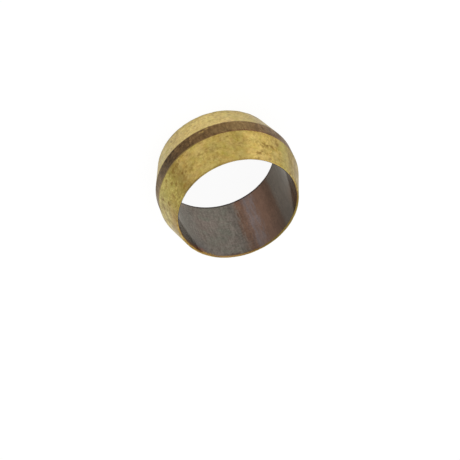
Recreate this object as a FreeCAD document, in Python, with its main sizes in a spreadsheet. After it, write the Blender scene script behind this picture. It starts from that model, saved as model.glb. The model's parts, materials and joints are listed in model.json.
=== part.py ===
"""Compression olive for 10 mm pipe: one ring, turned from drawn brass tube.

The ring stands on one end. Its bore runs along +Z, and the origin is the middle of its lower end face.
A plain land of untouched tube skin runs round the outside at mid-length. From each edge of the land a
straight taper runs down to a thin end face. The lengths are millimetres.
"""

import FreeCAD
import Part
import Sketcher
import os

# Driving dimensions, one row of the sheet each: alias, value, meaning
DIMENSIONS = (
    ("bore_diameter", 10.1, "slides along pipe of 10 mm outside diameter"),
    ("tube_wall", 0.98, "wall of the drawn tube, still whole under the land"),
    ("end_wall", 0.16, "wall that the tapers leave at each end"),
    ("ring_length", 6.7, "from end face to end face"),
    ("land_width", 1.26, "band of tube skin between the two tapers"),
    ("land_corner_radius", 0.2, "rounding where a taper runs out into the land"),
    ("mouth_chamfer", 0.06, "edge break where the bore meets an end face"),
)
FULL_TURN_DEG = 360
# How far an edge's radius may lie from the drawn one
RADIUS_MATCH = 1e-4
PARTS_FOLDER = "parts"

# The lines of the half section, in order round it
LOWER_END, LOWER_TAPER, LAND, UPPER_TAPER, UPPER_END, BORE = range(6)
# The two end points of a line
START = 1
END = 2
# The sketch's own X axis, and its origin as a line and point pair
X_AXIS = -1
ORIGIN = (-1, 1)


def make_sheet(doc):
    """The spreadsheet of driving dimensions, with an alias for each value."""
    sheet = doc.addObject("Spreadsheet::Sheet", "dims")
    for row, (alias, value, meaning) in enumerate(DIMENSIONS, start=1):
        sheet.set(f"A{row}", alias)
        sheet.set(f"B{row}", str(value))
        sheet.set(f"C{row}", meaning)
        sheet.setAlias(f"B{row}", alias)
    doc.recompute()
    return sheet


def origin_plane(body, role):
    """One of the body's own origin planes, by its role."""
    return next(item for item in body.Origin.OriginFeatures if item.Role == role)


def section_corners(sheet):
    """Corners of the half section as (radius, height), counter-clockwise from the bore's lower mouth."""
    bore = sheet.bore_diameter / 2
    end = bore + sheet.end_wall
    crown = bore + sheet.tube_wall
    length = sheet.ring_length
    taper = (length - sheet.land_width) / 2
    return [(bore, 0), (end, 0), (crown, taper), (crown, length - taper), (end, length), (bore, length)]


def bind(sketch, name, expression, *constraint):
    """Adds a named dimension to the sketch and ties it to the sheet."""
    index = sketch.addConstraint(Sketcher.Constraint(*constraint))
    sketch.renameConstraint(index, name)
    sketch.setExpression(f"Constraints.{name}", expression)


def draw_half_section(body, sheet):
    """The ring's half section on the XZ plane: X is the radius, Y the height above the lower end."""
    sketch = body.newObject("Sketcher::SketchObject", "half_section")
    sketch.AttachmentSupport = [(origin_plane(body, "XZ_Plane"), "")]
    sketch.MapMode = "FlatFace"
    corners = [FreeCAD.Vector(radius, height, 0) for radius, height in section_corners(sheet)]
    for start, end in zip(corners, corners[1:] + corners[:1]):
        sketch.addGeometry(Part.LineSegment(start, end), False)
    for line in range(len(corners)):
        following = (line + 1) % len(corners)
        sketch.addConstraint(Sketcher.Constraint("Coincident", line, END, following, START))
    for line in (LOWER_END, UPPER_END):
        sketch.addConstraint(Sketcher.Constraint("Horizontal", line))
    for line in (LAND, BORE):
        sketch.addConstraint(Sketcher.Constraint("Vertical", line))
    sketch.addConstraint(Sketcher.Constraint("PointOnObject", LOWER_END, START, X_AXIS))
    sketch.addConstraint(Sketcher.Constraint("Equal", LOWER_END, UPPER_END))
    sketch.addConstraint(Sketcher.Constraint("Equal", LOWER_TAPER, UPPER_TAPER))
    bore_mouth = (LOWER_END, START)
    bind(sketch, "bore_radius", "dims.bore_diameter / 2",
         "DistanceX", *ORIGIN, *bore_mouth, sheet.bore_diameter / 2)
    bind(sketch, "end_wall", "dims.end_wall",
         "DistanceX", *bore_mouth, LOWER_END, END, sheet.end_wall)
    bind(sketch, "tube_wall", "dims.tube_wall",
         "DistanceX", *bore_mouth, LAND, START, sheet.tube_wall)
    bind(sketch, "ring_length", "dims.ring_length",
         "DistanceY", *bore_mouth, UPPER_END, END, sheet.ring_length)
    bind(sketch, "land_width", "dims.land_width",
         "DistanceY", LAND, START, LAND, END, sheet.land_width)
    return sketch


def rings_at_radius(feature, radius):
    """Names of the feature's circular edges of that radius: one ring near each end."""
    return [
        f"Edge{number}"
        for number, edge in enumerate(feature.Shape.Edges, start=1)
        if isinstance(edge.Curve, Part.Circle) and abs(edge.Curve.Radius - radius) < RADIUS_MATCH
    ]


def make_olive(doc, sheet):
    """The ring: its section revolved, the land's corners rounded and the bore's mouths chamfered."""
    body = doc.addObject("PartDesign::Body", "olive_ring")
    body.Label = "olive_ring"
    sketch = draw_half_section(body, sheet)

    ring = body.newObject("PartDesign::Revolution", "turned_ring")
    ring.Profile = sketch
    ring.ReferenceAxis = (sketch, ["V_Axis"])
    ring.Angle = FULL_TURN_DEG
    doc.recompute()

    corners = body.newObject("PartDesign::Fillet", "land_corners")
    corners.Base = (ring, rings_at_radius(ring, sheet.bore_diameter / 2 + sheet.tube_wall))
    corners.setExpression("Radius", "dims.land_corner_radius")
    doc.recompute()

    mouths = body.newObject("PartDesign::Chamfer", "bore_mouths")
    mouths.Base = (corners, rings_at_radius(corners, sheet.bore_diameter / 2))
    mouths.setExpression("Size", "dims.mouth_chamfer")
    doc.recompute()
    return body


def check(doc, bodies):
    """Stops the script if an object failed to recompute or a piece isn't one sound solid."""
    for item in doc.Objects:
        if {"Invalid", "Error"} & set(item.State):
            raise RuntimeError(f"{item.Label} failed to recompute: {item.State}")
    for body in bodies:
        if body.Shape.isNull() or not body.Shape.isValid() or len(body.Shape.Solids) != 1:
            raise RuntimeError(f"{body.Label} isn't one sound solid")


def main():
    doc = FreeCAD.newDocument("compression_olive")
    sheet = make_sheet(doc)
    bodies = [make_olive(doc, sheet)]
    doc.recompute()
    check(doc, bodies)
    os.makedirs(PARTS_FOLDER, exist_ok=True)
    for body in bodies:
        body.Shape.exportStep(os.path.join(PARTS_FOLDER, f"{body.Label}.step"))
        print(f"{body.Label}: {body.Shape.Volume:.2f} cubic mm")


main()
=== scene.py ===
"""Compression olive: a ring turned from drawn brass tube, standing on its end on a pale floor.

The tapers are bare turned brass with tarnish, the land is the tube's brown outer skin, and the bore is its
grey inner skin. In the node trees lengths are millimetres, heights start at the lower end, and angles are
degrees round the bore's axis. The finished mesh is in metres.
"""

import json
import math

import bpy
from mathutils import Matrix, Vector


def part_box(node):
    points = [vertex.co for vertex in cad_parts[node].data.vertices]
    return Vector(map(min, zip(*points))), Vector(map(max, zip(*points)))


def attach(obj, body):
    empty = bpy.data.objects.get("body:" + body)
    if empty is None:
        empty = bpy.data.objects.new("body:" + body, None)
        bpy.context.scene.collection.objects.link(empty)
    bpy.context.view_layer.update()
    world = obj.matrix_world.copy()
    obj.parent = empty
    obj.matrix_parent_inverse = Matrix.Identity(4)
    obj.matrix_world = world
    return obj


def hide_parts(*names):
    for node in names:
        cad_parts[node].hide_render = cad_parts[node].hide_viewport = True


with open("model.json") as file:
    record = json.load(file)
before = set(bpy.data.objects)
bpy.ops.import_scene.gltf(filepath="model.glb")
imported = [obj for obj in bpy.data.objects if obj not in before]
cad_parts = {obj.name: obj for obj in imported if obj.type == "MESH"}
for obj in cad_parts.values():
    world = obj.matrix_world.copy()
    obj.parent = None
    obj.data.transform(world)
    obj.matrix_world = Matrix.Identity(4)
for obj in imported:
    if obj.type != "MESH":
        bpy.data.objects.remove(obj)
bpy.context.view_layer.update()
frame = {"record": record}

MM = 0.001
PER_MM = 1000.0

# Sizes of the ring in millimetres: the frame gives the main ones
ring_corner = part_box("olive_ring")[1]
bore_mount = next(mount for mount in frame["record"]["mounts"] if mount["name"] == "pipe_bore")
BORE_RADIUS = bore_mount["dims"]["r_mm"]
CROWN_RADIUS = ring_corner[0] / MM
LENGTH = ring_corner[2] / MM
END_WALL = 0.16
LAND_WIDTH = 1.26
LAND_CORNER = 0.2
MOUTH_CHAMFER = 0.06
RIM_ROUND = 0.02
LAND_LOW = (LENGTH - LAND_WIDTH) / 2
LAND_HIGH = (LENGTH + LAND_WIDTH) / 2

# How finely the ring is cut: round the axis, along its section and round its corners
SEGMENTS = 640
SECTION_STEP = 0.14
ROUND_STEPS = 4
# Edges that bend more than this stay sharp
SHARP_ANGLE = math.radians(20)
# Faces this near to the land's or the mouth's radius take its finish
RADIUS_SLACK = 0.004

# Nicks in the rims: how deep they are, how far from the rim they start, and the noise that places them
NICK_DEPTH = 0.05
NICK_REACH = 0.25
NICK_SEED = 3.0
NICK_NOISE = {"Scale": 1.1, "Detail": 4.0, "Roughness": 0.65}
NICK_START = 0.45
NICK_FULL = 0.8


def srgb(red, green, blue):
    """A colour as it shows on screen, 0 to 255, turned into linear light."""
    def linear(level):
        level /= 255
        return level / 12.92 if level <= 0.04045 else ((level + 0.055) / 1.055) ** 2.4
    return (linear(red), linear(green), linear(blue), 1.0)


def grey(level):
    """A grey in linear light."""
    return (level, level, level, 1.0)


# Node trees

def feed(tree, socket, value):
    """Links an output into a socket, or sets the socket's constant."""
    if isinstance(value, bpy.types.NodeSocket):
        tree.links.new(value, socket)
    else:
        socket.default_value = value


def add(tree, kind, inputs=None, **settings):
    """A new node with its settings and inputs."""
    node = tree.nodes.new(kind)
    for name, value in settings.items():
        setattr(node, name, value)
    for key, value in (inputs or {}).items():
        feed(tree, node.inputs[key], value)
    return node


def calc(tree, operation, *values):
    """A Math node's result."""
    return add(tree, "ShaderNodeMath", dict(enumerate(values)), operation=operation).outputs[0]


def vector(tree, x=0.0, y=0.0, z=0.0):
    """A vector from its three parts."""
    return add(tree, "ShaderNodeCombineXYZ", {"X": x, "Y": y, "Z": z}).outputs[0]


def vector_calc(tree, operation, *values):
    """A Vector Math node's result: a number for a length or a distance, and a vector for the rest."""
    outputs = add(tree, "ShaderNodeVectorMath", dict(enumerate(values)), operation=operation).outputs
    return outputs["Value" if operation in ("LENGTH", "DISTANCE") else "Vector"]


def axes_of(tree, place):
    """A place's X, Y and Z."""
    return add(tree, "ShaderNodeSeparateXYZ", {0: place}).outputs


def radius_of(tree, axes):
    """Distance from the bore's axis."""
    return vector_calc(tree, "LENGTH", vector(tree, axes["X"], axes["Y"]))


def ramp(tree, value, start, end, low=0.0, high=1.0):
    """A value eased from low at start to high at end."""
    return add(tree, "ShaderNodeMapRange",
               {"Value": value, "From Min": start, "From Max": end, "To Min": low, "To Max": high},
               interpolation_type="SMOOTHSTEP").outputs[0]


def floats(*names):
    """Sockets for plain numbers."""
    return [(name, "Float") for name in names]


def new_group(name, kind, inputs, outputs):
    """An empty node group: its tree, its inputs by name, and its output node."""
    tree = bpy.data.node_groups.new(name, kind)
    for in_out, sockets in (("INPUT", inputs), ("OUTPUT", outputs)):
        for socket_name, socket_type in sockets:
            tree.interface.new_socket(socket_name, in_out=in_out, socket_type=f"NodeSocket{socket_type}")
    return tree, tree.nodes.new("NodeGroupInput").outputs, tree.nodes.new("NodeGroupOutput")


# The ring's shape

def section_corners(tree, size):
    """Corners of the half section and their roundings: X is the radius past the bore, Y minus the height."""
    def corner(radius, height):
        return vector(tree, radius, calc(tree, "MULTIPLY", height, -1.0))

    wall = calc(tree, "SUBTRACT", size["crown_radius"], size["bore_radius"])
    land_low = calc(tree, "DIVIDE", calc(tree, "SUBTRACT", size["length"], size["land_width"]), 2.0)
    land_high = calc(tree, "ADD", land_low, size["land_width"])
    mouth_high = calc(tree, "SUBTRACT", size["length"], size["mouth_chamfer"])
    return [
        (corner(0.0, size["mouth_chamfer"]), size["rim_round"]),
        (corner(size["mouth_chamfer"], 0.0), size["rim_round"]),
        (corner(size["end_wall"], 0.0), size["rim_round"]),
        (corner(wall, land_low), size["land_corner"]),
        (corner(wall, land_high), size["land_corner"]),
        (corner(size["end_wall"], size["length"]), size["rim_round"]),
        (corner(size["mouth_chamfer"], size["length"]), size["rim_round"]),
        (corner(0.0, mouth_high), size["rim_round"]),
    ]


def draw_section(tree, size, place):
    """The closed half section, its corners rounded and its long runs cut into short steps."""
    index = add(tree, "GeometryNodeInputIndex").outputs[0]

    def by_index(kind, values):
        switch = add(tree, "GeometryNodeIndexSwitch", {"Index": index}, data_type=kind)
        while len(switch.index_switch_items) < len(values):
            switch.index_switch_items.new()
        for number, value in enumerate(values):
            feed(tree, switch.inputs[str(number)], value)
        return switch.outputs[0]

    corners, rounds = zip(*section_corners(tree, size))
    section = add(tree, "GeometryNodeMeshLine", {"Count": len(corners)}).outputs[0]
    section = add(tree, "GeometryNodeSetPosition",
                  {"Geometry": section, "Position": by_index("VECTOR", corners)}).outputs[0]
    section = add(tree, "GeometryNodeMeshToCurve", {"Mesh": section}).outputs[0]
    section = add(tree, "GeometryNodeSetSplineCyclic", {"Geometry": section, "Cyclic": True}).outputs[0]
    section = add(tree, "GeometryNodeFilletCurve",
                  {"Curve": section, "Count": ROUND_STEPS, "Radius": by_index("FLOAT", rounds),
                   "Limit Radius": True},
                  mode="POLY").outputs[0]
    following = add(tree, "GeometryNodeOffsetPointInCurve", {"Point Index": index, "Offset": 1})
    next_place = add(tree, "GeometryNodeFieldAtIndex", {"Index": following.outputs["Point Index"]},
                     data_type="FLOAT_VECTOR")
    feed(tree, next_place.inputs["Value"], place)
    run = vector_calc(tree, "DISTANCE", place, next_place.outputs[0])
    cuts = calc(tree, "DIVIDE", run, size["section_step"])
    return add(tree, "GeometryNodeSubdivideCurve", {"Curve": section, "Cuts": cuts}).outputs[0]


def nick_rims(tree, size, place, axes, ring):
    """The ring with small nicks in its two thin rims, bitten towards its middle."""
    middle = calc(tree, "DIVIDE", size["length"], 2.0)
    off_middle = calc(tree, "SUBTRACT", axes["Z"], middle)
    rim_start = calc(tree, "SUBTRACT", middle, NICK_REACH)
    near_rim = ramp(tree, calc(tree, "ABSOLUTE", off_middle), rim_start, middle)
    uneven = add(tree, "ShaderNodeTexNoise", {"Vector": place, "W": size["nick_seed"], **NICK_NOISE},
                 noise_dimensions="4D").outputs[0]
    nicked = calc(tree, "MULTIPLY", ramp(tree, uneven, NICK_START, NICK_FULL), near_rim)
    bite = calc(tree, "MULTIPLY", nicked, size["nick_depth"])
    inward = calc(tree, "MULTIPLY", calc(tree, "SIGN", off_middle), calc(tree, "MULTIPLY", bite, -1.0))
    return add(tree, "GeometryNodeSetPosition",
               {"Geometry": ring, "Offset": vector(tree, z=inward)}).outputs[0]


def ring_tree(taper_finish, land_finish, bore_finish):
    """The ring as a rule: its half section is drawn from its sizes and swept round the bore's axis."""
    sizes = floats("bore_radius", "crown_radius", "end_wall", "length", "land_width", "land_corner",
                   "mouth_chamfer", "rim_round", "section_step", "nick_depth", "nick_seed")
    tree, size, result = new_group(
        "turned ring", "GeometryNodeTree", sizes + [("segments", "Int")], [("Geometry", "Geometry")])
    place = add(tree, "GeometryNodeInputPosition").outputs[0]
    axes = axes_of(tree, place)

    # The sweep round the axis
    circle = add(tree, "GeometryNodeCurvePrimitiveCircle",
                 {"Resolution": size["segments"], "Radius": size["bore_radius"]}).outputs[0]
    section = draw_section(tree, size, place)
    ring = add(tree, "GeometryNodeCurveToMesh", {"Curve": circle, "Profile Curve": section}).outputs[0]
    ring = nick_rims(tree, size, place, axes, ring)

    # Smooth all over, with the true edges kept sharp
    ring = add(tree, "GeometryNodeSetShadeSmooth", {"Geometry": ring, "Shade Smooth": True},
               domain="FACE").outputs[0]
    bend = add(tree, "GeometryNodeInputMeshEdgeAngle").outputs["Unsigned Angle"]
    sharp = calc(tree, "GREATER_THAN", bend, SHARP_ANGLE)
    ring = add(tree, "GeometryNodeSetShadeSmooth",
               {"Geometry": ring, "Selection": sharp, "Shade Smooth": False}, domain="EDGE").outputs[0]
    ring = add(tree, "GeometryNodeTransform", {"Geometry": ring, "Scale": (MM, MM, MM)}).outputs[0]

    # Finishes by place: the bore and its mouths lie innermost, the land outermost, and the rest is turned
    radius = calc(tree, "MULTIPLY", radius_of(tree, axes), PER_MM)
    mouth_radius = calc(tree, "ADD", size["bore_radius"], size["mouth_chamfer"])
    in_bore = calc(tree, "LESS_THAN", radius, calc(tree, "ADD", mouth_radius, RADIUS_SLACK))
    on_land = calc(tree, "GREATER_THAN", radius, calc(tree, "SUBTRACT", size["crown_radius"], RADIUS_SLACK))
    ring = add(tree, "GeometryNodeRealizeInstances", {"Geometry": ring}).outputs[0]
    ring = add(tree, "GeometryNodeSetMaterial", {"Geometry": ring, "Material": taper_finish}).outputs[0]
    for where, finish in ((in_bore, bore_finish), (on_land, land_finish)):
        ring = add(tree, "GeometryNodeSetMaterial",
                   {"Geometry": ring, "Selection": where, "Material": finish}).outputs[0]
    feed(tree, result.inputs["Geometry"], ring)
    return tree


def make_ring(tree):
    """The ring as a plain mesh at the origin."""
    maker = bpy.data.objects.new("ring_maker", bpy.data.meshes.new("ring_maker"))
    bpy.context.scene.collection.objects.link(maker)
    modifier = maker.modifiers.new("turned ring", "NODES")
    modifier.node_group = tree
    values = {
        "bore_radius": BORE_RADIUS, "crown_radius": CROWN_RADIUS, "end_wall": END_WALL, "length": LENGTH,
        "land_width": LAND_WIDTH, "land_corner": LAND_CORNER, "mouth_chamfer": MOUTH_CHAMFER,
        "rim_round": RIM_ROUND, "section_step": SECTION_STEP, "segments": SEGMENTS,
        "nick_depth": NICK_DEPTH, "nick_seed": NICK_SEED,
    }
    for socket in tree.interface.items_tree:
        if socket.in_out == "INPUT":
            modifier[socket.identifier] = values[socket.name]
    depsgraph = bpy.context.evaluated_depsgraph_get()
    mesh = bpy.data.meshes.new_from_object(maker.evaluated_get(depsgraph), preserve_all_data_layers=True,
                                           depsgraph=depsgraph)
    mesh.name = "olive"
    ring = bpy.data.objects.new("olive", mesh)
    bpy.context.scene.collection.objects.link(ring)
    bpy.data.objects.remove(maker)
    return ring


# Effects that the finishes share

PLACE = ("Place", "Vector")
# A fray of this value moves nothing
FRAY_MIDDLE = 0.5
# How far a spot's outline is frayed, and where it starts and is full, as shares of its reach
SPOT_SWING = 0.7
SPOT_START = 1.1
SPOT_FULL = 0.2
# Where a ragged edge is full, as a share of its reach
EDGE_FULL = 0.4
# A noise runs mostly between these two values
NOISE_LOW = 0.34
NOISE_HIGH = 0.66


def turn_from(tree, axes, angle):
    """Degrees round the axis from a given angle, between -180 and 180."""
    here = calc(tree, "DEGREES", calc(tree, "ARCTAN2", axes["Y"], axes["X"]))
    return calc(tree, "WRAP", calc(tree, "SUBTRACT", here, angle), 180.0, -180.0)


def frayed(tree, away, fray, swing):
    """A distance from a mark, pushed in and out by a value between 0 and 1."""
    push = calc(tree, "MULTIPLY", calc(tree, "SUBTRACT", fray, FRAY_MIDDLE), swing)
    return calc(tree, "ADD", away, push)


def sector_group():
    """Mask of a strip along the axis: its angle at mid-length, half width, and lean in degrees a mm."""
    tree, given, result = new_group(
        "sector", "ShaderNodeTree",
        [PLACE] + floats("Angle", "Half Width", "Softness", "Fray", "Swing", "Lean"), floats("Mask"))
    axes = axes_of(tree, given["Place"])
    shift = calc(tree, "MULTIPLY", calc(tree, "SUBTRACT", axes["Z"], LENGTH / 2), given["Lean"])
    away = calc(tree, "ABSOLUTE", turn_from(tree, axes, calc(tree, "ADD", given["Angle"], shift)))
    away = frayed(tree, away, given["Fray"], given["Swing"])
    outer = calc(tree, "ADD", given["Half Width"], given["Softness"])
    inner = calc(tree, "SUBTRACT", given["Half Width"], given["Softness"])
    feed(tree, result.inputs["Mask"], ramp(tree, away, outer, inner))
    return tree


def spot_group():
    """Mask of one spot at an angle and a height, given by its reach round the ring and along it."""
    tree, given, result = new_group(
        "spot", "ShaderNodeTree",
        [PLACE] + floats("Angle", "Height", "Round", "Along", "Fray"), floats("Mask"))
    axes = axes_of(tree, given["Place"])
    turn = calc(tree, "RADIANS", turn_from(tree, axes, given["Angle"]))
    arc = calc(tree, "MULTIPLY", turn, radius_of(tree, axes))
    rise = calc(tree, "SUBTRACT", axes["Z"], given["Height"])
    across = calc(tree, "DIVIDE", arc, given["Round"])
    along = calc(tree, "DIVIDE", rise, given["Along"])
    away = vector_calc(tree, "LENGTH", vector(tree, across, along))
    away = frayed(tree, away, given["Fray"], SPOT_SWING)
    feed(tree, result.inputs["Mask"], ramp(tree, away, SPOT_START, SPOT_FULL))
    return tree


def noise(tree, place, seed, scale, detail, roughness):
    """A cloudy value, mostly between NOISE_LOW and NOISE_HIGH."""
    shifted = vector_calc(tree, "ADD", place, seed)
    return add(tree, "ShaderNodeTexNoise",
               {"Vector": shifted, "Scale": scale, "Detail": detail, "Roughness": roughness}).outputs[0]


def tarnish_group():
    """Cloudy tone, blotches, fine grain, and small dark specks in clusters."""
    tree, given, result = new_group(
        "tarnish", "ShaderNodeTree",
        [PLACE] + floats("Seed", "Cloud Scale", "Blotch Scale", "Grain Scale", "Speck Scale"),
        floats("Cloud", "Blotch", "Grain", "Specks"))

    def layer(shift, scale, detail, roughness, start=NOISE_LOW, full=NOISE_HIGH, least=0.0):
        seed = calc(tree, "ADD", given["Seed"], shift)
        value = noise(tree, given["Place"], seed, given[scale], detail, roughness)
        return ramp(tree, value, start, full, least)

    specks = layer(19.0, "Speck Scale", detail=2.0, roughness=0.5, start=0.55, full=0.72)
    clusters = layer(13.0, "Cloud Scale", detail=2.0, roughness=0.5, start=0.4, full=0.6, least=0.2)
    masks = {
        "Cloud": layer(0.0, "Cloud Scale", detail=3.0, roughness=0.55),
        "Blotch": layer(7.0, "Blotch Scale", detail=5.0, roughness=0.62, start=0.4, full=0.68),
        "Grain": layer(29.0, "Grain Scale", detail=3.0, roughness=0.6),
        "Specks": calc(tree, "MULTIPLY", specks, clusters),
    }
    for name, mask in masks.items():
        feed(tree, result.inputs[name], mask)
    return tree


def marks_group():
    """Fine tool or draw marks: a noise stretched round the ring or along it."""
    tree, given, result = new_group(
        "marks", "ShaderNodeTree", [PLACE] + floats("Seed", "Round Scale", "Along Scale"), floats("Marks"))
    stretch = vector(tree, given["Round Scale"], given["Round Scale"], given["Along Scale"])
    stretched = vector_calc(tree, "MULTIPLY", given["Place"], stretch)
    value = noise(tree, stretched, given["Seed"], scale=1.0, detail=3.0, roughness=0.55)
    feed(tree, result.inputs["Marks"], ramp(tree, value, NOISE_LOW, NOISE_HIGH))
    return tree


def edge_group():
    """Ragged mask along a ring at one height."""
    tree, given, result = new_group(
        "ragged edge", "ShaderNodeTree", [PLACE] + floats("Height", "Reach", "Fray", "Swing"), floats("Mask"))
    rise = calc(tree, "SUBTRACT", axes_of(tree, given["Place"])["Z"], given["Height"])
    away = frayed(tree, calc(tree, "ABSOLUTE", rise), given["Fray"], given["Swing"])
    full = calc(tree, "MULTIPLY", given["Reach"], EDGE_FULL)
    feed(tree, result.inputs["Mask"], ramp(tree, away, given["Reach"], full))
    return tree


SECTOR = sector_group()
SPOT = spot_group()
TARNISH = tarnish_group()
MARKS = marks_group()
EDGE = edge_group()


# Finishes

# A Mix node's two colours among its inputs, and its colour among its outputs
MIX_UNDER = 6
MIX_OVER = 7
MIX_RESULT = 2


class Finish:
    """A material under way: its tree, its shader, the place on the ring, and its colour so far."""

    def __init__(self, name, ground):
        self.material = bpy.data.materials.new(name)
        self.material.use_nodes = True
        self.tree = self.material.node_tree
        self.shader = self.tree.nodes["Principled BSDF"]
        coordinates = add(self.tree, "ShaderNodeTexCoord").outputs["Object"]
        self.place = vector_calc(self.tree, "MULTIPLY", coordinates, (PER_MM, PER_MM, PER_MM))
        self.colour = ground

    def effect(self, group, **values):
        """A shared effect's outputs."""
        node = add(self.tree, "ShaderNodeGroup", node_tree=group)
        feed(self.tree, node.inputs["Place"], self.place)
        for name, value in values.items():
            feed(self.tree, node.inputs[name.replace("_", " ").title()], value)
        return node.outputs

    def tarnish(self, seed, cloud, blotch, grain, speck):
        """Tarnish with the scales of its four masks."""
        return self.effect(TARNISH, seed=seed, cloud_scale=cloud, blotch_scale=blotch, grain_scale=grain,
                           speck_scale=speck)

    def marks(self, seed, round_scale, along_scale):
        """Fine marks, stretched the way that has the smaller scale."""
        return self.effect(MARKS, seed=seed, round_scale=round_scale, along_scale=along_scale)["Marks"]

    def sector(self, angle, half_width, softness, fray=FRAY_MIDDLE, swing=0.0, lean=0.0):
        """Mask of a strip along the axis."""
        return self.effect(SECTOR, angle=angle, half_width=half_width, softness=softness, fray=fray,
                           swing=swing, lean=lean)["Mask"]

    def spot(self, angle, height, round_reach, along_reach, fray=FRAY_MIDDLE):
        """Mask of one spot."""
        return self.effect(SPOT, angle=angle, height=height, round=round_reach, along=along_reach,
                           fray=fray)["Mask"]

    def spots(self, places, fray):
        """One mask for several spots, each given by its angle, height and two reaches."""
        mask = 0.0
        for place in places:
            mask = self.calc("MAXIMUM", mask, self.spot(*place, fray))
        return mask

    def patches(self, places, fray):
        """One mask for several soft patches, each a spot with a strength after it."""
        mask = 0.0
        for *place, strength in places:
            mask = self.calc("MAXIMUM", mask, self.calc("MULTIPLY", self.spot(*place, fray), strength))
        return mask

    def edge(self, height, reach, fray=FRAY_MIDDLE, swing=0.0):
        """Mask along a ring at one height."""
        return self.effect(EDGE, height=height, reach=reach, fray=fray, swing=swing)["Mask"]

    def above(self, height, softness=0.05):
        """Mask of what lies above a height."""
        return ramp(self.tree, axes_of(self.tree, self.place)["Z"], height - softness, height + softness)

    def calc(self, operation, *values):
        """A Math node's result."""
        return calc(self.tree, operation, *values)

    def both(self, first, second):
        """Mask of where two masks meet."""
        return self.calc("MULTIPLY", first, second)

    def between(self, low, high, mask):
        """A value that runs from low to high with the mask."""
        return self.calc("ADD", low, self.calc("MULTIPLY", mask, high - low))

    def mix(self, blend, factor, over):
        """Mixes another colour over the colour so far."""
        node = add(self.tree, "ShaderNodeMix", data_type="RGBA", blend_type=blend)
        inputs = {"Factor": factor, MIX_UNDER: self.colour, MIX_OVER: over}
        for key, value in inputs.items():
            feed(self.tree, node.inputs[key], value)
        self.colour = node.outputs[MIX_RESULT]

    def tint(self, tone, mask, amount=1.0):
        """Tints the colour so far where the mask is high."""
        self.mix("MIX", self.calc("MULTIPLY", mask, amount), tone)

    def tints(self, rows, within=None):
        """Tints by each row's tone, mask and amount in turn, inside one more mask where that is given."""
        for tone, mask, amount in rows:
            where = mask if within is None else self.both(mask, within)
            self.tint(tone, where, amount)

    def shade(self, tone, amount):
        """Makes the colour lighter where the tone is above a half and darker below, its hue kept."""
        self.mix("SOFT_LIGHT", amount, tone)

    def bump(self, height, depth_mm):
        """Fine relief of a depth in millimetres."""
        relief = {"Height": height, "Strength": 1.0, "Distance": depth_mm * MM}
        node = add(self.tree, "ShaderNodeBump", relief)
        feed(self.tree, self.shader.inputs["Normal"], node.outputs["Normal"])

    def set(self, **values):
        """Sets the shader's inputs, and gives it the colour so far."""
        for name, value in {"base_color": self.colour, **values}.items():
            feed(self.tree, self.shader.inputs[name.replace("_", " ").title()], value)


# Brown spots on the tapers, and fainter ones: angle, height, reach round the ring and reach along it
TAPER_SPOTS = (
    (77, 5.38, 0.25, 0.16), (73, 5.2, 0.45, 0.18), (69, 5.1, 0.35, 0.2), (79, 5.9, 0.2, 0.15),
    (82, 6.1, 0.3, 0.2), (62.5, 4.6, 0.3, 0.35),
    (153.5, 4.4, 0.32, 0.2), (159, 4.5, 0.22, 0.25), (167, 5.0, 0.25, 0.2), (163, 5.45, 0.2, 0.18),
    (152.5, 5.25, 0.2, 0.15), (170, 4.3, 0.22, 0.15), (184.5, 5.4, 0.2, 0.16), (186, 4.62, 0.22, 0.2),
    (194.5, 4.78, 0.22, 0.22), (178.5, 6.4, 0.25, 0.13),
    (152, 0.95, 0.2, 0.25), (150, 0.15, 0.2, 0.2),
)
FAINT_SPOTS = (
    (82.5, 5.1, 0.25, 0.2), (127, 5.75, 0.25, 0.2), (122, 5.85, 0.3, 0.2), (118, 5.7, 0.25, 0.2),
    (70, 5.0, 0.9, 0.5), (66, 4.7, 0.6, 0.4), (76, 5.3, 0.6, 0.35), (152, 5.8, 0.4, 0.3),
    (157, 6.3, 0.35, 0.3), (152.5, 5.65, 0.3, 0.2), (175, 5.9, 0.4, 0.3), (173, 4.6, 0.4, 0.3),
    (114, 1.7, 0.15, 0.25), (86, 0.35, 0.3, 0.2), (167, 1.7, 0.25, 0.35),
)
# Soft patches on the tapers, pale and dull: the same, and how strongly each shows
PALE_PATCHES = (
    (128, 6.45, 0.6, 0.35, 1), (145, 6.4, 0.45, 0.3, 0.7), (79, 6.45, 0.9, 0.35, 1),
    (73, 6.6, 0.5, 0.3, 1), (65, 5.7, 0.4, 0.3, 0.9), (65, 4.75, 0.5, 0.3, 0.9),
    (175, 4.2, 0.9, 0.4, 0.8), (210, 4.85, 0.7, 0.6, 1), (188, 5.4, 0.4, 0.3, 0.8),
    (151, 4.6, 0.4, 0.6, 0.6), (51, 4.85, 0.45, 0.4, 0.6), (133, 4.5, 0.5, 0.6, 0.5),
    (108, 4.25, 0.4, 0.25, 0.5), (175, 5.5, 0.4, 0.25, 0.5), (85, 5.95, 0.4, 0.3, 0.5),
    (149, 6.0, 0.4, 0.35, 0.7), (172, 4.7, 0.35, 0.3, 0.5), (47, 6.6, 0.35, 0.3, 0.6),
    (136, 6.62, 0.4, 0.2, 0.5), (157, 4.8, 0.35, 0.35, 0.5), (126, 5.85, 0.35, 0.3, 0.6),
    (99, 6.08, 0.35, 0.3, 0.7), (200, 4.7, 0.45, 0.35, 0.8),
    (117, 0.55, 0.5, 0.4, 1), (127, 2.55, 0.5, 0.2, 1), (104, 0.8, 0.4, 0.4, 0.5),
    (152, 1.15, 0.4, 0.35, 0.8),
)
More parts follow.
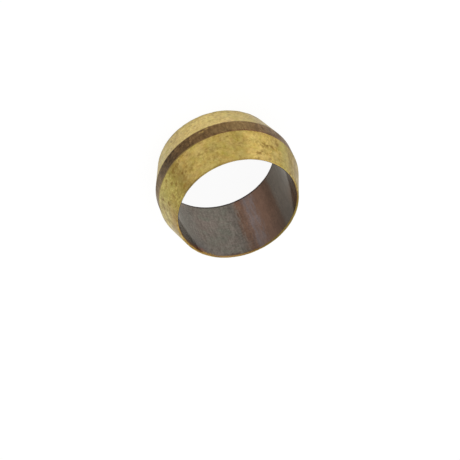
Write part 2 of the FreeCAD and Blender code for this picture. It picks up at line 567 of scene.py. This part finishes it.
DULL_PATCHES = (
    (165, 6.05, 0.7, 0.55, 1), (147, 5.4, 0.6, 0.45, 1), (119, 5.1, 0.45, 0.4, 1),
    (63, 6.2, 0.45, 0.35, 1), (79, 4.95, 0.4, 0.3, 0.8), (91, 4.9, 0.4, 0.35, 0.9),
    (121, 4.08, 0.7, 0.2, 0.6), (57, 6.6, 0.35, 0.25, 0.6), (98.5, 4.37, 0.35, 0.2, 0.6),
    (178, 6.3, 0.45, 0.3, 0.7), (129, 4.75, 0.35, 0.25, 0.5), (162, 5.85, 0.5, 0.4, 1),
    (190, 4.65, 0.4, 0.35, 0.5), (72, 6.15, 0.4, 0.3, 0.5), (72, 4.95, 0.35, 0.2, 0.5),
    (193, 5.75, 0.35, 0.3, 0.7), (162, 6.6, 0.3, 0.25, 0.8),
    (67, 2.4, 1.0, 0.4, 1), (169, 1.3, 0.5, 0.5, 0.5),
)
# The same on the land
LAND_PALE = (
    (126, 3.05, 0.5, 0.25, 0.9), (96, 3.4, 0.7, 0.5, 0.6), (114, 3.55, 0.4, 0.35, 0.7),
    (84, 3.0, 0.5, 0.3, 0.5), (144, 3.6, 0.3, 0.3, 0.4), (186, 3.75, 0.6, 0.25, 0.6),
    (71, 3.6, 0.5, 0.3, 0.5),
)
LAND_DULL = (
    (106, 3.6, 0.6, 0.3, 0.8), (120, 3.6, 0.4, 0.3, 0.5), (168, 3.3, 0.5, 0.6, 0.5),
    (189, 2.9, 0.6, 0.3, 0.7),
)
# The two strokes of the scratch on the land
SCRATCH = ((123, 3.0, 0.42, 0.1), (119, 2.86, 0.3, 0.08))


class TurnedBrass(Finish):
    """Tapers and end faces: yellow brass off the tool, mottled with olive tarnish and brown specks."""

    def __init__(self):
        super().__init__("turned_brass", srgb(159, 140, 63))
        self.patina = self.tarnish(seed=2.0, cloud=0.5, blotch=1.2, grain=3.4, speck=2.2)
        self.stain = self.tarnish(seed=41.0, cloud=0.9, blotch=2.2, grain=5.0, speck=3.2)
        self.haze = self.tarnish(seed=71.0, cloud=1.3, blotch=1.8, grain=8.0, speck=5.5)
        self.flecks = self.tarnish(seed=93.0, cloud=0.8, blotch=3.0, grain=6.0, speck=3.8)
        self.rings = self.marks(seed=5.0, round_scale=0.3, along_scale=9.0)
        self.streaks = self.marks(seed=23.0, round_scale=3.2, along_scale=0.8)
        self.dabs = self.marks(seed=37.0, round_scale=1.8, along_scale=1.4)
        self.fray = self.patina["Grain"]
        self.upper = self.above(LENGTH / 2)
        self.lower = self.calc("SUBTRACT", 1.0, self.upper)
        # The mottling is weaker on the lower taper
        self.mottled = self.between(0.75, 1.0, self.upper)
        self.brown_spots = self.spots(TAPER_SPOTS, self.fray)

        self.tint(srgb(198, 176, 96), self.patina["Cloud"])
        # Painted highlight on the upper taper and painted sheen on the lower, as strips
        self.rub_bright()
        self.mottle()
        # Strips of tarnish, with painted shade and painted sheen among them
        self.dull_in_strips()
        self.fleck_upper()
        self.streak_lower()
        self.streak_sides()
        self.lay_patches()
        self.speck()
        self.brown_land_edges()
        self.dull_rims()
        self.set(metallic=1.0, specular_tint=(0.84, 0.82, 0.78, 1.0),
                 roughness=self.between(0.34, 0.48, self.patina["Blotch"]))
        pits = self.calc("MAXIMUM", self.brown_spots, self.patina["Specks"])
        self.bump(self.calc("SUBTRACT", self.rings, pits), depth_mm=0.004)

    def strips(self, rows):
        """Tints strips along the axis on the upper or the lower taper."""
        for tone, side, angle, half_width, softness, swing, lean, amount in rows:
            strip = self.sector(angle, half_width, softness, self.fray, swing, lean)
            self.tint(tone, self.both(strip, side), amount)

    def rub_bright(self):
        """Painted highlights in strips: a narrow painted highlight on the upper taper, and a broad painted
        sheen on the lower.
        """
        self.strips((
            (srgb(242, 211, 120), self.upper, 80.5, 11.5, 1.2, 3, 0, 0.85),
            (srgb(252, 231, 152), self.lower, 117, 27, 20, 0, 0, 0.92)))

    def mottle(self):
        """Cloudy mottling in orange, brown, olive and pale yellow, and the tool's fine rings."""
        self.tints((
            (srgb(206, 150, 94), self.stain["Cloud"], 0.44),
            (srgb(138, 113, 54), self.patina["Blotch"], 0.48),
            (srgb(156, 154, 54), self.stain["Blotch"], 0.44),
            (srgb(216, 198, 142), self.haze["Cloud"], 0.2),
            (srgb(186, 148, 50), self.haze["Blotch"], 0.3),
            (srgb(224, 202, 122), self.patina["Grain"], 0.33),
            (srgb(136, 105, 54), self.stain["Grain"], 0.34),
            (srgb(214, 192, 122), self.rings, 0.15)), within=self.mottled)

    def dull_in_strips(self):
        """Strips of tarnish, dulled brown, greenish and pale, with painted light among them: partly painted
        shade in the dark strip, painted shade just past the edge of the upper painted highlight, and painted
        sheen on the lower taper.
        """
        self.strips((
            # Dark strip: partly tarnish, partly painted shade on this side of the upper taper
            (srgb(92, 72, 26), self.upper, 162, 9, 6, 6, -2.2, 0.45),
            (srgb(142, 132, 46), self.upper, 175, 12, 6, 8, 0, 0.48),
            # Painted shade just past the edge of the upper painted highlight
            (srgb(140, 122, 52), self.upper, 98, 5.5, 1.5, 2, 0, 0.2),
            (srgb(134, 112, 50), self.upper, 112, 9, 6, 6, 0, 0.1),
            (srgb(134, 112, 50), self.upper, 143, 8, 6, 6, 0, 0.08),
            (srgb(180, 172, 98), self.upper, 53, 5, 3, 3, 0, 0.5),
            (srgb(126, 98, 52), self.upper, 36, 12, 8, 8, 0, 0.4),
            (srgb(176, 168, 104), self.upper, 200, 10, 6, 10, 0, 0.35),
            (srgb(172, 184, 148), self.lower, 166, 20, 12, 0, 0, 0.3),
            (srgb(142, 136, 112), self.lower, 70, 9, 6, 6, 0, 0.35),
            (srgb(96, 78, 46), self.lower, 63, 6, 5, 8, 0, 0.65),
            (srgb(112, 98, 64), self.lower, 184, 8, 5, 8, 0, 0.55),
            (srgb(156, 142, 84), self.lower, 145, 5, 4, 4, 0, 0.3),
            # Painted sheen on the lower taper, where it is brightest
            (srgb(252, 236, 156), self.lower, 117, 4, 3, 4, 0, 0.35)))

    def fleck_upper(self):
        """Green and brown flecks beside the dark strip of tarnish and painted shade, and green where it meets
        the land.
        """
        self.tints((
            (srgb(214, 200, 112), self.flecks["Blotch"], 0.6),
            (srgb(104, 80, 36), self.flecks["Specks"], 0.6),
            (srgb(108, 84, 34), self.flecks["Grain"], 0.5),
            (srgb(228, 214, 138), self.stain["Grain"], 0.2)),
            within=self.both(self.sector(188, 26, 8), self.upper))
        greened = self.both(self.sector(176, 10, 6, self.fray, 6), self.edge(LAND_HIGH, 1.6, self.fray, 0.5))
        self.tint(srgb(182, 176, 104), greened, 0.3)

    def streak_lower(self):
        """Orange, green and dull streaks on the lower taper, and olive along its rim."""
        self.tints((
            (srgb(216, 168, 98), self.flecks["Blotch"], 0.36),
            (srgb(192, 194, 102), self.flecks["Cloud"], 0.38),
            (srgb(150, 124, 70), self.streaks, 0.22),
            (srgb(230, 206, 132), self.dabs, 0.3),
            (srgb(120, 90, 54), self.haze["Specks"], 0.35),
            (srgb(244, 214, 130), self.patina["Grain"], 0.25),
            (srgb(140, 112, 60), self.stain["Grain"], 0.3),
            (srgb(142, 126, 62), self.edge(0.0, 0.6, self.fray, 0.3), 0.4)), within=self.lower)

    def streak_sides(self):
        """Pale and brown streaks along the axis at two sides, where the upper taper is seen edge-on: the pale
        ones are partly painted sheen.
        """
        for angle, pale, streak, brown in ((34, 0.28, self.streaks, 0.55), (203, 0.65, self.dabs, 0.6)):
            self.tints((
                # Pale streaks: partly painted sheen where the taper is seen edge-on
                (srgb(226, 220, 158), self.haze["Grain"], pale),
                (srgb(112, 88, 44), streak, brown)), within=self.sector(angle, 18, 8))

    def lay_patches(self):
        """Tan towards the mouth and pale towards the land on one side, and soft patches on both tapers."""
        tanned = self.both(self.sector(199, 15, 8, self.dabs, 6), self.above(5.75, 0.5))
        self.tints((
            (srgb(148, 104, 40), tanned, 0.5),
            (srgb(206, 192, 132), self.spot(199, 4.75, 1.1, 0.6, self.dabs), 0.4),
            (srgb(226, 214, 164), self.spot(212, 4.8, 0.8, 0.8, self.fray), 0.25),
            (srgb(226, 204, 132), self.patches(PALE_PATCHES, self.fray), 0.34),
            (srgb(116, 92, 42), self.patches(DULL_PATCHES, self.fray), 0.34)))

    def speck(self):
        """Brown specks all over, and the brown spots."""
        faint = self.both(self.spots(FAINT_SPOTS, self.fray), self.stain["Blotch"])
        self.tints((
            (srgb(112, 82, 38), self.both(self.patina["Specks"], self.mottled), 0.5),
            (srgb(112, 82, 38), self.both(self.haze["Specks"], self.mottled), 0.5),
            (srgb(134, 98, 44), faint, 0.62),
            (srgb(122, 92, 40), self.brown_spots, 0.6),
            (srgb(96, 66, 30), self.both(self.brown_spots, self.stain["Grain"]), 0.2)))

    def brown_land_edges(self):
        """Browning along the land's two edges, and deeper on one side of the lower one."""
        browning_and_brown_reflection = self.both(self.edge(LAND_LOW, 0.55, self.fray, 0.2), self.sector(65, 9, 6))
        self.tints((
            (srgb(84, 64, 36), browning_and_brown_reflection, 0.6),
            (srgb(118, 84, 48), self.edge(LAND_LOW, 0.11, self.fray, 0.06), 0.55),
            (srgb(118, 84, 48), self.edge(LAND_HIGH, 0.11, self.fray, 0.06), 0.12)))

    def dull_rims(self):
        """Both rims dulled brown and olive, and dashed with dark brown on one side."""
        dashes = self.both(self.sector(278, 62, 12), self.stain["Blotch"])
        for end in (0.0, LENGTH):
            self.tints((
                (srgb(96, 66, 34), dashes, 0.9),
                (srgb(112, 88, 42), self.sector(288, 44, 14), 0.5),
                (srgb(110, 86, 44), self.sector(108, 29, 6), 0.42),
                (srgb(98, 76, 36), self.sector(150, 13, 6), 0.5),
                (srgb(120, 102, 52), self.sector(168, 24, 12), 0.35),
                (srgb(108, 94, 36), self.sector(346, 38, 12), 0.7)), within=self.edge(end, 0.08))


class CrownSkin(Finish):
    """The land: brown oxidised skin of the drawn tube, with one scratch down to the brass."""

    def __init__(self):
        super().__init__("crown_skin", srgb(93, 69, 43))
        self.patina = self.tarnish(seed=31.0, cloud=0.4, blotch=1.6, grain=4.5, speck=3.0)
        self.lines = self.marks(seed=8.0, round_scale=5.0, along_scale=0.8)
        self.fray = self.patina["Grain"]
        scratch = self.spots(SCRATCH, self.fray)

        self.tint(srgb(122, 95, 59), self.patina["Cloud"])
        self.brown_in_strips()
        self.shade(self.lines, 0.25)
        self.shade(self.patina["Grain"], 0.25)
        self.tint(srgb(66, 46, 28), self.patina["Blotch"], 0.35)
        self.wear_corner()
        self.tints((
            (srgb(156, 130, 86), self.patches(LAND_PALE, self.fray), 0.45),
            (srgb(62, 46, 28), self.patches(LAND_DULL, self.fray), 0.45),
            (srgb(172, 142, 82), scratch, 0.8)))
        self.set(metallic=0.95, specular_tint=(0.92, 0.88, 0.82, 1.0),
                 roughness=self.between(0.4, 0.55, self.patina["Blotch"]))
        self.bump(self.calc("SUBTRACT", self.lines, scratch), depth_mm=0.004)

    def brown_in_strips(self):
        """Strips of paler and of darker brown, and red along part of the upper corner."""
        for tone, angle, half_width, softness, amount in (
                (srgb(145, 118, 75), 97, 11, 9, 0.8),
                (srgb(126, 104, 82), 64, 10, 8, 0.38),
                (srgb(130, 112, 80), 187, 12, 8, 0.5),
                (srgb(54, 40, 24), 156, 6, 6, 0.8),
                (srgb(66, 49, 30), 139, 4, 3, 0.5),
                (srgb(72, 60, 42), 168, 7, 4, 0.65),
                (srgb(66, 50, 12), 205, 9, 6, 0.8)):
            self.tint(tone, self.sector(angle, half_width, softness, self.fray, 5), amount)
        reddened = self.both(self.edge(LAND_HIGH, 0.2, self.fray, 0.2), self.sector(72, 34, 20))
        self.tint(srgb(118, 72, 48), reddened, 0.55)

    def wear_corner(self):
        """Two stretches of the upper corner rubbed bright."""
        for angle, half_width, reach, swing in ((148, 17, 0.16, 0.06), (188, 14, 0.3, 0.2)):
            stretch = self.sector(angle, half_width, 12, self.lines, 8)
            worn = self.both(self.edge(LAND_HIGH, reach, self.fray, swing), stretch)
            self.tint(srgb(150, 128, 70), worn, 0.65)


class BoreSkin(Finish):
    """The bore: grey inner skin with draw lines along it, and painted reflections in strips by angle round
    the axis: greys, one red-brown, and tones in the dark crescents by the mouth.
    """

    def __init__(self):
        super().__init__("bore_skin", srgb(130, 118, 109))
        self.patina = self.tarnish(seed=57.0, cloud=0.45, blotch=1.4, grain=5.5, speck=3.0)
        self.lines = self.marks(seed=11.0, round_scale=4.5, along_scale=1.1)
        self.fine_lines = self.marks(seed=17.0, round_scale=9.0, along_scale=0.8)
        self.grain = self.patina["Grain"]

        self.tint(srgb(122, 116, 106), self.patina["Cloud"])
        # Painted reflections by angle round the axis: grey strips, a red-brown strip, and tones by the mouth
        self.grey_in_strips()
        # Red-brown painted reflection, with soft spots after it that shape it
        self.stain_red()
        self.lay_spots()
        # Painted reflections by the mouth, in and beside the dark crescents
        self.darken_mouth()
        self.draw_lines()
        self.brown_edges()
        self.bare_mouth()
        self.set(metallic=0.6, specular_tint=(0.6, 0.56, 0.5, 1.0),
                 roughness=self.between(0.1, 0.15, self.lines))
        self.bump(self.lines, depth_mm=0.0015)

    def grey_in_strips(self):
        """Painted reflections in strips of greenish, blue and brown grey, and a darker grey towards the
        mouth.
        """
        self.tints((
            (srgb(115, 119, 105), self.both(self.sector(270, 24, 12), self.patina["Blotch"]), 0.55),
            (srgb(100, 99, 88), self.sector(231, 9, 6), 0.6),
            (srgb(108, 95, 86), self.sector(254, 3, 3, self.lines, 8), 0.35),
            (srgb(96, 97, 93), self.sector(241, 10, 5), 0.35),
            (srgb(92, 84, 77), self.sector(293.5, 3.5, 3.5, self.lines, 2), 0.5),
            (srgb(94, 89, 81), self.above(4.2, 2.4), 0.42)))

    def stain_red(self):
        """The red-brown painted reflection: its body, dark side, brown stripe and pale middle, then the
        smooth grey painted reflection beyond it.
        """
        lines = self.lines
        fine_lines = self.fine_lines
        for tone, angle, half_width, softness, fray, swing, lean, amount in (
                (srgb(119, 88, 71), 318.5, 21, 4, lines, 3, -0.4, 0.95),
                (srgb(84, 60, 44), 339, 9, 9, lines, 3, 0, 0.95),
                (srgb(112, 86, 69), 301.5, 3, 3, lines, 3, -0.4, 0.5),
                (srgb(129, 110, 103), 311, 6, 4, fine_lines, 6, -0.3, 0.7),
                (srgb(128, 120, 122), 308.5, 1.2, 1.0, fine_lines, 3, -0.3, 0.5),
                (srgb(126, 116, 116), 314, 1.4, 1.2, fine_lines, 4, -0.3, 0.45),
                (srgb(92, 84, 75), 360.5, 20, 3, lines, 2, 0, 0.92),
                (srgb(95, 92, 87), 374, 12, 9, lines, 1, 0, 0.45)):
            self.tint(tone, self.sector(angle, half_width, softness, fray, swing, lean), amount)

    def lay_spots(self):
        """Soft spots in and beside the red-brown painted reflection, more of the painted reflections: angle,
        height, reach round the bore and reach along it.
        """
        for tone, place, amount in (
                (srgb(134, 92, 70), (302, 0.6, 0.45, 0.9), 0.35),
                (srgb(144, 122, 114), (310.5, 5.6, 0.25, 0.9), 0.45),
                (srgb(116, 104, 96), (298, 5.6, 0.25, 0.7), 0.4),
                (srgb(132, 96, 78), (316, 6.3, 0.4, 0.4), 0.4),
                (srgb(90, 84, 76), (259, 3.9, 0.4, 0.35), 0.4),
                (srgb(90, 84, 76), (288.5, 2.2, 0.4, 0.4), 0.4),
                (srgb(142, 112, 90), (242, 0.45, 0.5, 0.4), 0.4),
                (srgb(118, 110, 102), (290, 5.5, 0.3, 0.6), 0.3)):
            self.tint(tone, self.spot(*place, self.grain), amount)

    def darken_mouth(self):
        """Painted reflections by the mouth: darker over the red-brown painted reflection, brown, gold and
        red-brown in the dark crescents at its two sides, and a darker spot and a pale painted highlight in
        the crescent near 235 degrees.
        """
        # Painted reflections: brown and gold in the crescent near 20 degrees, red-brown in the one near 235
        browning_and_brown_reflection = self.both(self.sector(379, 17, 9, self.lines, 6), self.above(4.8, 1.5))
        golden = self.both(self.sector(390, 9, 7, self.lines, 4), self.above(5.4, 1.0))
        reddish = self.both(self.sector(236, 13, 5), self.edge(LENGTH, 0.75, self.grain, 0.3))
        self.tints((
            # Painted reflection, darker towards the mouth
            (srgb(58, 48, 42), self.both(self.sector(332, 40, 12), self.above(4.6, 1.6)), 0.34),
            (srgb(58, 48, 42), self.both(self.sector(352, 20, 10), self.above(4.0, 1.6)), 0.1),
            (srgb(114, 79, 52), browning_and_brown_reflection, 0.85),
            (srgb(150, 116, 60), golden, 0.38),
            # A darker painted reflection and a pale painted highlight in the crescent near 235 degrees
            (srgb(86, 83, 80), self.spot(245, 6.3, 1.5, 1.9), 0.7),
            (srgb(126, 119, 115), self.spot(227, 5.5, 0.6, 1.0), 0.5),
            (srgb(128, 76, 60), reddish, 0.85)))

    def draw_lines(self):
        """Draw lines and grain, which are weaker in the red-brown painted reflection and beyond it."""
        fainter = self.between(0.12, 0.04, self.sector(332, 16, 8))
        weaker = self.between(0.2, 0.1, self.sector(345, 38, 12))
        self.shade(self.lines, fainter)
        self.shade(self.fine_lines, fainter)
        self.shade(self.grain, weaker)

    def brown_edges(self):
        """A dark edge at the lower end, and red-brown along part of the upper mouth."""
        mouth = self.both(self.edge(LENGTH, 0.36, self.patina["Blotch"], -0.3), self.sector(262, 38, 12))
        self.tints((
            (srgb(38, 20, 15), self.edge(0.0, 0.3), 0.97),
            (srgb(78, 48, 36), mouth, 0.65),
            (srgb(70, 50, 40), self.spot(253, 6.6, 0.45, 0.2), 0.7)))

    def bare_mouth(self):
        """The mouth's edge rubbed down to the brass."""
        bared = self.both(self.sector(316, 58, 14), self.edge(LENGTH, 0.12, self.grain, 0.06))
        gold = self.both(self.sector(230, 24, 8, self.grain, 8), self.edge(LENGTH, 0.3, self.lines, 0.12))
        deeper = self.both(self.sector(215, 16, 8), self.edge(LENGTH, 0.5, self.lines, 0.2))
        gold = self.calc("MAXIMUM", gold, deeper)
        self.tints((
            (srgb(150, 114, 44), bared, 0.55),
            (srgb(108, 94, 38), self.both(bared, self.sector(346, 32, 12)), 0.7),
            (srgb(190, 150, 72), gold, 0.85),
            (srgb(100, 62, 36), self.both(gold, self.patina["Blotch"]), 0.75)))


# Floor, light and camera

# The floor in metres: it lies a hair under the ring, so that the two don't share a plane
FLOOR_SIDES = 96
FLOOR_RADIUS = 1.5
FLOOR_DROP = 0.00001
# Its paint, which lights the ring, and what the eye and reflections see: a glow and a little shaded grey
FLOOR_PAINT = 0.85
FLOOR_GLOW = 0.925
FLOOR_SHADED = 0.1

# The surround: white up to a low height, easing to a dimmer grey overhead
SKY_WHITE_TO = 0.15
SKY_DIM_FROM = 0.9
SKY_DIM = 0.5
# The softboxes, in metres
SOFTBOX_DISTANCE = 0.30
SOFTBOX_WIDTH = 0.26

# The camera, fitted to the photograph: the way to its right, the way back from its view, and its place
CAMERA_RIGHT = Vector((0.94045, 0.21433, 0.26386))
CAMERA_BACK = Vector((-0.33995, 0.59294, 0.72997))
CAMERA_PLACE = Vector((-45.32, 76.47, 103.54)) * MM
FOCAL_PIXELS = 1600
FRAME_PIXELS = 460
SENSOR_WIDTH = 36.0
NEAREST_SEEN = 0.001


def pale_floor():
    """White floor: white to the eye and in reflections, with a faint shadow under the ring."""
    bpy.ops.mesh.primitive_circle_add(vertices=FLOOR_SIDES, radius=FLOOR_RADIUS, fill_type="NGON",
                                      location=(0, 0, -FLOOR_DROP))
    floor = bpy.context.object
    floor.name = "floor"
    material = bpy.data.materials.new("pale_floor")
    material.use_nodes = True
    tree = material.node_tree
    tree.nodes.remove(tree.nodes["Principled BSDF"])
    seen = add(tree, "ShaderNodeLightPath").outputs
    mirrored = calc(tree, "MAXIMUM", seen["Is Glossy Ray"], seen["Is Transmission Ray"])
    looked_at = calc(tree, "MAXIMUM", seen["Is Camera Ray"], mirrored)
    paint = add(tree, "ShaderNodeBsdfDiffuse", {"Color": grey(FLOOR_PAINT)}).outputs[0]
    shaded = add(tree, "ShaderNodeBsdfDiffuse", {"Color": grey(FLOOR_SHADED)}).outputs[0]
    glow = add(tree, "ShaderNodeEmission", {"Color": grey(FLOOR_GLOW), "Strength": 1.0}).outputs[0]
    white = add(tree, "ShaderNodeAddShader", {0: shaded, 1: glow}).outputs[0]
    floor_shader = add(tree, "ShaderNodeMixShader", {0: looked_at, 1: paint, 2: white}).outputs[0]
    feed(tree, tree.nodes["Material Output"].inputs["Surface"], floor_shader)
    floor.data.materials.append(material)


def softbox(name, azimuth, elevation, radiance):
    """A square lamp that faces the ring, with its brightness as it would show in a mirror."""
    turn = math.radians(azimuth)
    rise = math.radians(elevation)
    lamp = bpy.data.lights.new(name, "AREA")
    lamp.shape = "SQUARE"
    lamp.size = SOFTBOX_WIDTH
    lamp.energy = radiance * math.pi * SOFTBOX_WIDTH ** 2
    toward = Vector((math.cos(turn) * math.cos(rise), math.sin(turn) * math.cos(rise), math.sin(rise)))
    place = toward * SOFTBOX_DISTANCE
    box = bpy.data.objects.new(name, lamp)
    box.location = place
    box.rotation_euler = place.to_track_quat("Z", "Y").to_euler()
    bpy.context.scene.collection.objects.link(box)


def studio_light():
    """A pale surround, whiter at the horizon, and three large softboxes overhead."""
    world = bpy.data.worlds.new("surround")
    bpy.context.scene.world = world
    world.use_nodes = True
    tree = world.node_tree
    upward = axes_of(tree, add(tree, "ShaderNodeTexCoord").outputs["Generated"])["Z"]
    shade = ramp(tree, upward, SKY_WHITE_TO, SKY_DIM_FROM, 1.0, SKY_DIM)
    sky = add(tree, "ShaderNodeCombineColor", {0: shade, 1: shade, 2: shade}).outputs[0]
    feed(tree, tree.nodes["Background"].inputs["Color"], sky)
    softbox("key_softbox", azimuth=75, elevation=48, radiance=1.2)
    softbox("fill_softbox", azimuth=200, elevation=40, radiance=0.6)
    softbox("back_softbox", azimuth=300, elevation=47, radiance=0.8)


def photo_camera():
    """The camera: it looks down into the upper end and is turned so that this end hangs low in the frame."""
    up = CAMERA_BACK.cross(CAMERA_RIGHT)
    turned = Matrix((CAMERA_RIGHT, up, CAMERA_BACK)).transposed().to_4x4()
    lens = bpy.data.cameras.new("camera")
    lens.sensor_width = SENSOR_WIDTH
    lens.lens = FOCAL_PIXELS / FRAME_PIXELS * SENSOR_WIDTH
    lens.clip_start = NEAREST_SEEN
    camera = bpy.data.objects.new("camera", lens)
    camera.matrix_world = Matrix.Translation(CAMERA_PLACE) @ turned
    bpy.context.scene.collection.objects.link(camera)
    bpy.context.scene.camera = camera


def main():
    bpy.context.scene.view_settings.view_transform = "Standard"
    ring = make_ring(ring_tree(TurnedBrass().material, CrownSkin().material, BoreSkin().material))
    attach(ring, "root")
    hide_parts("olive_ring")
    pale_floor()
    studio_light()
    photo_camera()


main()
